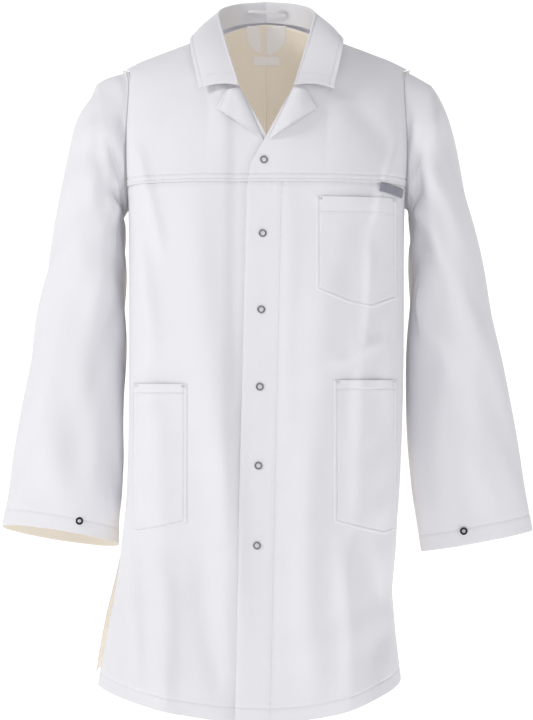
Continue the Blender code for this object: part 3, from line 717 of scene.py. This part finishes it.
def build_collar():
    """One band of cloth: up from the neck seam, over the roll, and down to the outer edge."""
    t = np.linspace(1, -1, 181)
    neck, roll, edge = (collar_line(t, k) for k in range(3))
    away = np.stack([roll[:, 0], roll[:, 1], 0 * t], axis=-1)
    away /= np.linalg.norm(away, axis=-1, keepdims=True)
    lift = np.array([0, 0, 1.0])
    rows = []
    for v in np.linspace(0, 1, 15)[:-1]:
        rows.append(neck + (roll - neck) * v)
    for turn in np.linspace(0, math.pi, 9)[1:-1]:
        rows.append(roll + away * 0.0017 * (1 - math.cos(turn)) + lift * 0.0017 * math.sin(turn))
    stops = np.concatenate([np.linspace(0, 1, 21), [0.86, 0.875, 0.885, 0.895, 0.91, 0.985]])
    for v in np.unique(stops):
        bow = lift * 0.0040 * math.sin(math.pi * v) + away * 0.0016 * math.sin(math.pi * v * 0.9)
        dip = -0.0008 * math.exp(-((v - 0.885) / 0.014) ** 2)
        rows.append(roll + away * 0.0034 + (edge - roll) * v + bow + away * dip)
    points = np.array(rows)
    wobble = 0.0007 * waves(t[None, :] * 0.25 + 0 * points[..., 2], points[..., 2], 0.07, 51)
    points = points + away[None] * wobble[..., None] * np.linspace(0, 1, len(rows))[:, None, None]
    piece = sheet("collar_cloth", points, thick=0.0012, inside=WHITE, grow=0.0)
    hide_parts("collar_stand", "collar_fall")
    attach(piece, "root")
    fall = points[21:]
    row = int(np.argmin(np.abs(np.linspace(0, 1, len(fall)) - 0.86)))
    outs = np.repeat(away[None], len(fall), axis=0) * 0.9 + lift * 0.4
    ends = [(fall[:row + 1, k] + outs[:row + 1, k] * 0.0007, outs[:row + 1, k]) for k in (4, -5)]
    line = (fall[row, 4:-4] + outs[row, 4:-4] * 0.0007, outs[row, 4:-4])
    thread = stitches("collar_stitching", [line] + ends)
    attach(thread, "root")


# ---------------------------------------------------------------- lapels
GORGE, NOTCH, TIP, FOOT = (0.0385, -0.0880), (0.0580, -0.0915), (0.0735, -0.1180), (0.0035, -0.1640)


def build_lapel(sign):
    """A lapel turned back from the roll line, with its notch, tip and edge stitching."""
    side = "left" if sign > 0 else "right"
    u = shares(0.04, 0.0016, (-0.006,))[None, :]
    v = shares(0.10, 0.0020)[:, None]
    roll = np.array(GORGE) + (np.array(FOOT) - np.array(GORGE)) * v[..., None]
    edge = np.array(NOTCH) + (np.array(TIP) - np.array(NOTCH)) * v[..., None]
    flat = roll + (edge - roll) * u[..., None]
    x, z = sign * flat[..., 0], flat[..., 1]
    rise = 0.0062 * np.sin(np.clip(u * 1.9, 0, 1) * math.pi / 2) ** 0.6
    rise = rise + 0.0008 + 0.0022 * np.sin(u * math.pi)
    rise = rise - 0.0030 * ease(u, 0.6, 1.0)
    if sign > 0:
        rise = rise + 0.0006
    point = front_point(sign, x, z, rise + 0.0004 * waves(x, z, 0.03, 71))
    piece = sheet(f"{side}_lapel_cloth", point, flip=sign < 0, thick=0.0012, inside=WHITE)
    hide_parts(f"{side}_lapel")
    bend_front(piece)
    inset = -3
    away = np.array([0.0, -1.0, 0.1])
    path = np.concatenate([point[2, 2:inset], point[2:-2, inset], point[-3, inset:2:-1]])
    row = (path + away * 0.0002, np.tile(away, (len(path), 1)))
    thread = stitches(f"{side}_lapel_stitching", [row])
    bend_front(thread)


# ---------------------------------------------------------------- pockets
def outline_z(bottom, x):
    """Height of a pocket's bottom edge at x."""
    return straight(bottom, np.abs(x))


POCKETS = {
    "chest_pocket": (1, 0.0705, 0.1905, -0.2460, 0.0,
                     ((0.0705, -0.380), (0.118, -0.399), (0.150, -0.406), (0.1905, -0.391))),
    "left_hip_pocket": (1, 0.0960, 0.1900, -0.5085, 0.0130,
                        ((0.0960, -0.711), (0.169, -0.731), (0.1900, -0.728))),
    "right_hip_pocket": (-1, 0.1130, 0.1940, -0.5140, 0.0130,
                         ((0.1130, -0.712), (0.185, -0.729), (0.194, -0.727))),
}


def build_pocket(name):
    """A patch pocket with a folded rim, its edge stitching and bar-tacks at its mouth."""
    sign, inner, outer, top, band, bottom = POCKETS[name]
    across = shares(outer - inner, 0.0030, (0.0015, 0.0055, -0.0055, -0.0015))
    if sign < 0:
        across = across[::-1]
    down = shares(0.21, 0.0035, (0.0015, 0.0130, 0.0220, -0.0055, -0.0015))[:, None]
    x = sign * (inner + (outer - inner) * across) + 0 * down
    low = outline_z(bottom, x)
    z = top + (low - top) * down
    to_side = np.minimum(np.abs(np.abs(x) - inner), np.abs(outer - np.abs(x)))
    to_low = z - low
    rim = np.minimum(to_side, to_low)
    along = np.clip((np.abs(x) - inner) / (outer - inner), 0, 1)
    mouth = ease(top - z, 0.030, 0.0) * np.sin(math.pi * along)
    level = 0.0012 + groove(rim - POCKET_STITCH, 0.0013, 0.0007) - 0.0007 * ease(rim, 0.0018, 0.0)
    level = level + 0.0020 * mouth + groove(top - z - (band or 0.022), 0.0013, 0.0006)
    level = level + 0.0007 * waves(x, z, 0.06, 81) * ease(rim, 0.004, 0.02)
    point = front_point(sign, x, z, level)
    piece = sheet(f"{name}_cloth", point, thick=0.0007, flip=False, inside=WHITE)
    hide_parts(name)
    bend_front(piece)

    def path(points):
        xs, zs = np.array([p[0] for p in points]), np.array([p[1] for p in points])
        line = front_point(sign, sign * xs, zs, 0.0019)
        return line, np.tile(np.array([sign * 0.25, -1.0, 0.05]), (len(xs), 1))
    edge_x = np.linspace(inner + POCKET_STITCH, outer - POCKET_STITCH, 40)
    sides = [path([(inner + POCKET_STITCH, z) for z in np.linspace(top, bottom[0][1] + 0.006, 60)]),
             path([(x, outline_z(bottom, np.array(x)) + POCKET_STITCH) for x in edge_x]),
             path([(x, top - (band or 0.022)) for x in edge_x])]
    thread = stitches(f"{name}_stitching", sides + bar_tacks(sign, inner, outer, top))
    bend_front(thread)


def build_inner_pocket():
    """The pocket bag behind the chest pocket, inside the left front."""
    low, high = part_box("inner_chest_pocket")
    across = shares(0.140, 0.0040)[None, :]
    down = shares(0.215, 0.0040)[:, None]
    x = 0.050 + 0.136 * across + 0 * down
    z = high[2] - (high[2] - low[2]) * down + 0 * across
    inner = sheet("inner_chest_pocket_cloth", front_point(1, x, z, -0.0034), thick=0.0006)
    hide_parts("inner_chest_pocket")
    bend_front(inner)


def bar_tacks(sign, inner, outer, top):
    """Short dense rows of thread across each end of a pocket's mouth."""
    rows = []
    for x0 in (inner + 0.002, outer - 0.009):
        for k in range(5):
            xs = np.linspace(x0, x0 + 0.008, 6)
            z = top - 0.002 - 0.0006 * k
            rows.append((front_point(sign, sign * xs, np.full(6, z), 0.0021),
                         np.tile(np.array([0, -1.0, 0]), (6, 1))))
    return rows


# ---------------------------------------------------------------- stitch rows on the fronts
def front_rows(sign):
    """Top-stitching of the yoke, the placket and the hem of one front."""
    side = "left" if sign > 0 else "right"
    edge = LEFT_EDGE if sign > 0 else RIGHT_EDGE

    def row(xs, zs, extra=0.0003):
        xs, zs = np.broadcast_arrays(np.asarray(xs, float), np.asarray(zs, float))
        return front_point(sign, xs, zs, extra), np.tile(np.array([0.0, -1.0, 0.05]), (len(xs), 1))
    paths = []
    for z in (YOKE_Z + up for up in YOKE_STITCHES):
        x0 = straight(edge, -z)
        reach = sign * (side_x(sign, np.array([z]), False)[0] - 0.002)
        paths.append(row(np.linspace(x0 + sign * 0.001, reach, 120), z, 0.0007))
    if sign > 0:
        zs = np.linspace(-0.205, -0.985, 300)
        paths.append(row(straight(edge, -zs) + PLACKET, zs, 0.0002))
    x0 = edge[-1][1]
    xs = between(np.full(90, x0 + sign * 0.001), np.full(90, sign * 0.17), np.full(90, SIDE_HEM_Z),
                 np.linspace(0, 1, 90))
    paths.append(row(xs, hem_z(xs) + HEM_STITCH, 0.0002))
    thread = stitches(f"{side}_front_stitching", paths)
    bend_front(thread)


# ---------------------------------------------------------------- press studs
def centre(name):
    """Middle of a CAD node's box, and the box's size."""
    low, high = (np.array(v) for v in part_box(name))
    return (low + high) / 2, high - low


def lathe(name, profile, at, out, material, turns=40):
    """A shape turned about out: profile is (radius, height) corners from centre or rim and round."""
    verts, faces = [], []
    for radius, height in profile:
        for k in range(turns):
            a = math.tau * k / turns
            verts.append((radius * math.cos(a), radius * math.sin(a), height))
    count = len(profile)
    for j in range(count):
        for k in range(turns):
            a, b = j * turns + k, j * turns + (k + 1) % turns
            c, d = ((j + 1) % count) * turns + (k + 1) % turns, ((j + 1) % count) * turns + k
            faces.append((a, b, c, d))
    turn = Vector((0, 0, 1)).rotation_difference(Vector(out)).to_matrix()
    points = [turn @ Vector(v) + Vector(at) for v in verts]
    return make(name, [tuple(p) for p in points], faces, (material,))


def rounded_ring(outer, hole, high):
    """Cross-section of a pressed ring with rounded edges."""
    middle, wide, tall = (outer + hole) / 2, (outer - hole) / 2, high / 2
    section = []
    for k in range(12):
        a = math.tau * k / 12
        c, s = math.cos(a), math.sin(a)
        section.append((middle + wide * math.copysign(abs(c) ** 0.6, c),
                        tall + tall * math.copysign(abs(s) ** 0.6, s)))
    return section


SNAP_PARTS = (("cap", "left_front", 0.0004), ("socket", "left_front", -0.0030),
              ("stud", "right_front", -0.0042), ("back_ring", "right_front", -0.0082))


def build_snaps():
    """Front studs, and the cuffs' studs."""
    out = np.array([0.0, -1.0, -0.04])
    out /= np.linalg.norm(out)
    for number in range(1, 7):
        at, _ = centre(f"snap_{number}_cap")
        face = front_point(1, np.array(at[0]), np.array(at[2]))
        for kind, body, level in SNAP_PARTS:
            name = f"snap_{number}_{kind}"
            hole = 0.0034 if kind in ("cap", "back_ring") else 0.0012
            ring = rounded_ring(STUD_RADIUS, hole, 0.0011)
            piece = lathe(f"{name}_metal", ring, face + out * level, out, STEEL)
            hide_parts(name)
            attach(piece, body)
    for sign, side in ((1, "left"), (-1, "right")):
        for kind, finish in (("cap", DARK), ("inner_stud", STEEL), ("outer_stud", STEEL)):
            name = f"{side}_cuff_{kind}"
            at, size = centre(name)
            thin = int(np.argmin(size))
            direction = np.zeros(3)
            direction[thin] = -1.0
            direction[0] = 0.06 * sign
            direction /= np.linalg.norm(direction)
            piece = lathe(f"{name}_metal", rounded_ring(CUFF_STUD_RADIUS, 0.0028, 0.0013), at, direction, finish)
            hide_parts(name)
            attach(piece, f"{side}_sleeve")


# ---------------------------------------------------------------- labels
def build_labels():
    """Blank woven label, neck patch, care label and the hanging loop."""
    u = np.linspace(-1, 1, 25)[None, :]
    v = np.linspace(1, -1, 11)[:, None]
    x = 0.1815 + 0.0180 * u + 0.0014 * v
    z = -0.2335 - 0.0036 * u + 0.0068 * v
    point = front_point(1, x, z, 0.0026 + 0.0002 * np.cos(v * math.pi))
    piece = sheet("woven_label_cloth", point, thick=0.0005, outside=GREY, inside=GREY)
    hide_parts("woven_label")
    bend_front(piece)

    u = np.linspace(-1, 1, 41)[None, :]
    v = np.linspace(0, 1, 19)[:, None]
    x = 0.030 * u + 0 * v
    z = 0.034 - 0.040 * v * np.sqrt(1 - 0.82 * u ** 2)
    y = depth(x, z, True, back_folds(x, z)) - 0.0020
    grid = np.stack([x, y, z], axis=-1)
    patch = sheet("neck_patch_cloth", grid, thick=0.0005, outside=TAPE, inside=TAPE)
    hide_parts("neck_patch")
    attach(patch, "root")
    x = 0.0205 * u + 0 * v
    z = -0.0075 - 0.0130 * v + 0 * u
    y = depth(x, z, True, back_folds(x, z)) - 0.0026 - 0.003 * v
    grid = np.stack([x, y, z], axis=-1)
    care = sheet("care_label_cloth", grid, thick=0.0004, outside=TAPE, inside=TAPE)
    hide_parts("care_label")
    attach(care, "root")
    low, high = (np.array(v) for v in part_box("hanger_loop"))
    a = np.linspace(-1, 1, 41)[None, :]
    w = np.linspace(0.5, -0.5, 6)[:, None]
    x = high[0] * a + 0 * w
    bulge = (high[1] - low[1]) * np.sqrt(np.clip(1 - a ** 4, 0, 1))
    y = high[1] + 0.0060 * np.abs(a) ** 8 - bulge + 0 * w
    z = (low[2] + high[2]) / 2 + 0.0045 * w - 0.0015 * (1 - a ** 2)
    loop = sheet("hanger_loop_cloth", np.stack([x, y, z], axis=-1), thick=0.0009, inside=WHITE)
    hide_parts("hanger_loop")
    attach(loop, "root")


# ---------------------------------------------------------------- studio
def stage_material(name, colour, glow):
    """Plain pale stage paint, a little lit from within so that it stays clean white."""
    made = bpy.data.materials.new(name)
    made.use_nodes = True
    shader = made.node_tree.nodes["Principled BSDF"]
    shader.inputs["Base Color"].default_value = (*colour, 1.0)
    shader.inputs["Roughness"].default_value = 1.0
    shader.inputs["Emission Color"].default_value = (1.0, 1.0, 1.0, 1.0)
    shader.inputs["Emission Strength"].default_value = glow
    return made


def area_light(name, at, towards, size, power, colour=(1.0, 1.0, 1.0)):
    """A soft square light."""
    data = bpy.data.lights.new(name, "AREA")
    data.shape = "RECTANGLE"
    data.size, data.size_y = size
    data.energy = power
    data.color = colour
    made = bpy.data.objects.new(name, data)
    made.location = at
    made.rotation_euler = (Vector(towards) - Vector(at)).to_track_quat("-Z", "Y").to_euler()
    bpy.context.scene.collection.objects.link(made)


def build_studio():
    """Cove, lights, world and camera."""
    profile = [(-6.0, FLOOR_Z), (WALL_Y - WALL_BEND, FLOOR_Z)]
    for k in range(1, 17):
        a = k / 16 * math.pi / 2
        profile.append((WALL_Y - WALL_BEND + WALL_BEND * math.sin(a),
                        FLOOR_Z + WALL_BEND - WALL_BEND * math.cos(a)))
    profile.append((WALL_Y, 5.0))
    verts = [(x, y, z) for y, z in profile for x in (-7.0, 7.0)]
    faces = [(2 * k, 2 * k + 1, 2 * k + 3, 2 * k + 2) for k in range(len(profile) - 1)]
    cove = make("studio_cove", verts, faces, (stage_material("studio_white", (0.5, 0.5, 0.5), 0.85),))
    bpy.context.scene.view_settings.view_transform = "Standard"
    area_light("key_light", (-2.6, -1.5, 1.2), (0, 0, -0.45), (0.8, 0.8), 39.0, (1.0, 0.99, 0.98))
    area_light("fill_light", (2.6, -1.6, 0.5), (0, 0, -0.5), (1.2, 1.6), 7.0, (0.97, 0.98, 1.0))
    area_light("top_light", (0.0, -0.2, 2.2), (0, 0, -0.2), (1.8, 1.2), 7.0)
    area_light("front_light", (0.3, -2.9, 0.5), (0, 0, -0.1), (1.0, 1.0), 9.0)
    world = bpy.data.worlds.new("studio_world")
    world.use_nodes = True
    background = world.node_tree.nodes["Background"]
    background.inputs["Color"].default_value = (0.95, 0.96, 1.0, 1.0)
    background.inputs["Strength"].default_value = 0.34
    bpy.context.scene.world = world
    data = bpy.data.cameras.new("photo_camera")
    camera = bpy.data.objects.new("photo_camera", data)
    camera.location = (0.0, -CAMERA_DISTANCE, CAMERA_Z)
    camera.rotation_euler = (math.radians(90), 0.0, 0.0)
    data.sensor_fit = "VERTICAL"
    data.sensor_height = 24.0
    data.lens = data.sensor_height * CAMERA_DISTANCE / VIEW_TALL
    bpy.context.scene.collection.objects.link(camera)
    bpy.context.scene.camera = camera


def main():
    """Dress the whole coat and set the studio."""
    build_studio()
    build_back()
    for sign in (1, -1):
        build_front(sign)
        build_lapel(sign)
        front_rows(sign)
        build_sleeve(sign)
    build_collar()
    for name in POCKETS:
        build_pocket(name)
    build_inner_pocket()
    build_snaps()
    build_labels()


main()
